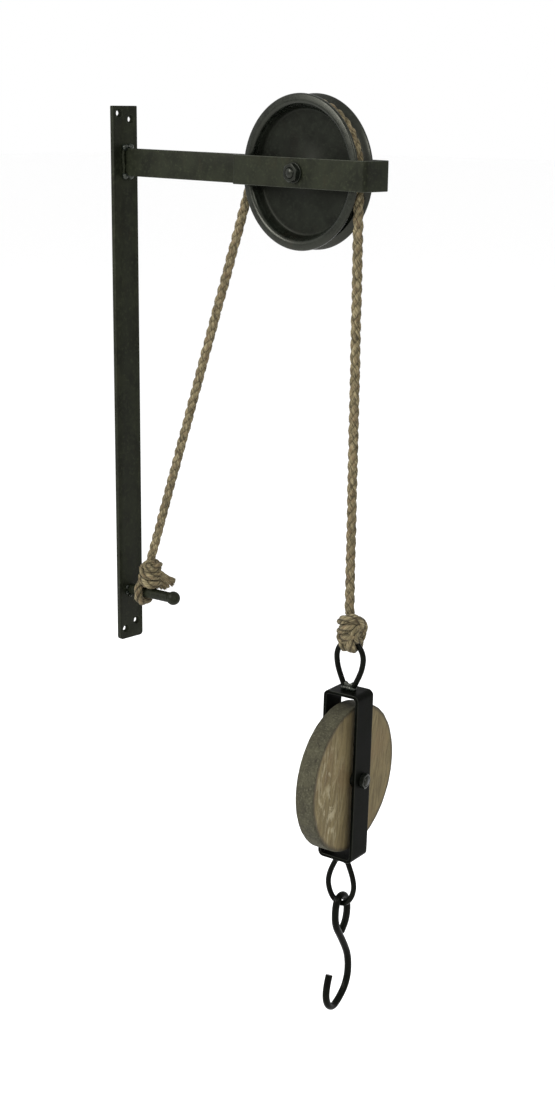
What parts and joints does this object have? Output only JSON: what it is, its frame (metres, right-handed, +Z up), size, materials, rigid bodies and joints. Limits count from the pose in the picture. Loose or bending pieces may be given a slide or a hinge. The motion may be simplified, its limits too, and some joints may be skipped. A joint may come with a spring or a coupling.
{
  "type": "wall-mounted rope pulley hoist",
  "caption": "Steel wall bracket whose grooved sheave carries a jute rope, tied off on a peg, down to a hanging block with a wooden disc and an S-hook.",
  "frame": {"origin": "middle of the back plate's rear face, on the wall", "axes": "+Z up, +X away from the wall along the arm, Y along the sheave's axle"},
  "size_m": [0.3719, 0.162, 0.9765],
  "materials": {
    "bracket_steel": "satin, oiled black",
    "sheave_steel": "satin, oiled black",
    "block_steel": "satin, oiled black",
    "fastener_steel": "semi-gloss, blackened",
    "bush_steel": "turned, oiled",
    "jute_rope": "rough laid fibre",
    "old_wood": "dry, weathered"
  },
  "bodies": {
    "bracket": {"back_plate": "bracket_steel", "arm_bar": "bracket_steel", "sheave_fork": "bracket_steel", "rope_peg": "bracket_steel", "axle_bolt": "fastener_steel", "axle_nut": "fastener_steel", "axle_washer_near": "fastener_steel", "axle_washer_far": "fastener_steel", "sheave_spacer_near": "bush_steel", "sheave_spacer_far": "bush_steel", "rope_haul": "jute_rope", "peg_knot": "jute_rope", "rope_tail": "jute_rope"},
    "sheave": {"sheave_wheel": "sheave_steel", "sheave_bush": "bush_steel"},
    "fall": {"rope_fall": "jute_rope"},
    "knot": {"block_knot": "jute_rope"},
    "block": {"block_top_eye": "block_steel", "block_frame": "block_steel", "block_bottom_eye": "block_steel", "block_bolt": "fastener_steel", "block_nut": "fastener_steel"},
    "disc": {"wood_disc": "old_wood", "disc_bush": "bush_steel"},
    "hook": {"s_hook": "block_steel"}
  },
  "joints": [
    {"name": "hoist", "type": "slide", "parent": "bracket", "child": "fall", "axis": [0, 0, 1], "range_m": [0, 0.3], "deforming": ["rope_fall"]},
    {"name": "sheave_spin", "type": "hinge", "parent": "bracket", "child": "sheave", "pos_m": [0.2775, 0, 0.241], "axis": [0, -1, 0], "range_deg": [0, 248]},
    {"name": "rope_twist", "type": "hinge", "parent": "fall", "child": "knot", "pos_m": [0.347, 0, -0.2065], "axis": [0, 0, 1], "range_deg": [-60, 60]},
    {"name": "block_swing", "type": "hinge", "parent": "knot", "child": "block", "pos_m": [0.347, 0, -0.237], "axis": [0.9871, 0.1599, 0], "range_deg": [-25, 25]},
    {"name": "disc_spin", "type": "hinge", "parent": "block", "child": "disc", "pos_m": [0.34337, -0.00059, -0.38745], "axis": [0.9868, 0.1598, -0.0244], "continuous": true},
    {"name": "hook_swing", "type": "hinge", "parent": "block", "child": "hook", "pos_m": [0.33979, -0.00117, -0.53571], "axis": [0.9871, 0.1599, 0], "range_deg": [-60, 60]}
  ],
  "couplings": [
    {"joint": "sheave_spin", "follows": "hoist", "rad_per_m": 14.388}
  ]
}
